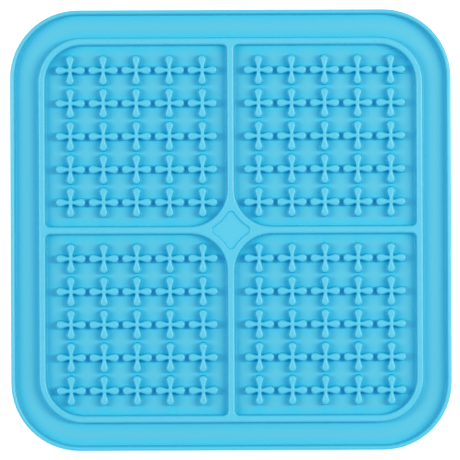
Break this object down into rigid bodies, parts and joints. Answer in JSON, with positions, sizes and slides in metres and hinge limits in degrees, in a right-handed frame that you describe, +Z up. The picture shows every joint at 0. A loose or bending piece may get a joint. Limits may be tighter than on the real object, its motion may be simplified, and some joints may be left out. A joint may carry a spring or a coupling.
{
  "type": "lick mat",
  "caption": "Square moulded silicone lick mat with a moat inside its rim and four pockets, parted by a cross of ribs and studded with small petal-shaped crosses.",
  "frame": {"origin": "centre of the flat underside, on the surface that the mat lies on", "axes": "+Z up out of the food side; +X and +Y run along the mat's sides and along its two ribs"},
  "size_m": [0.2, 0.2, 0.008],
  "materials": {
    "silicone": "soft satin moulded silicone, light blue"
  },
  "bodies": {
    "root": {"mat": "silicone"}
  },
  "joints": []
}
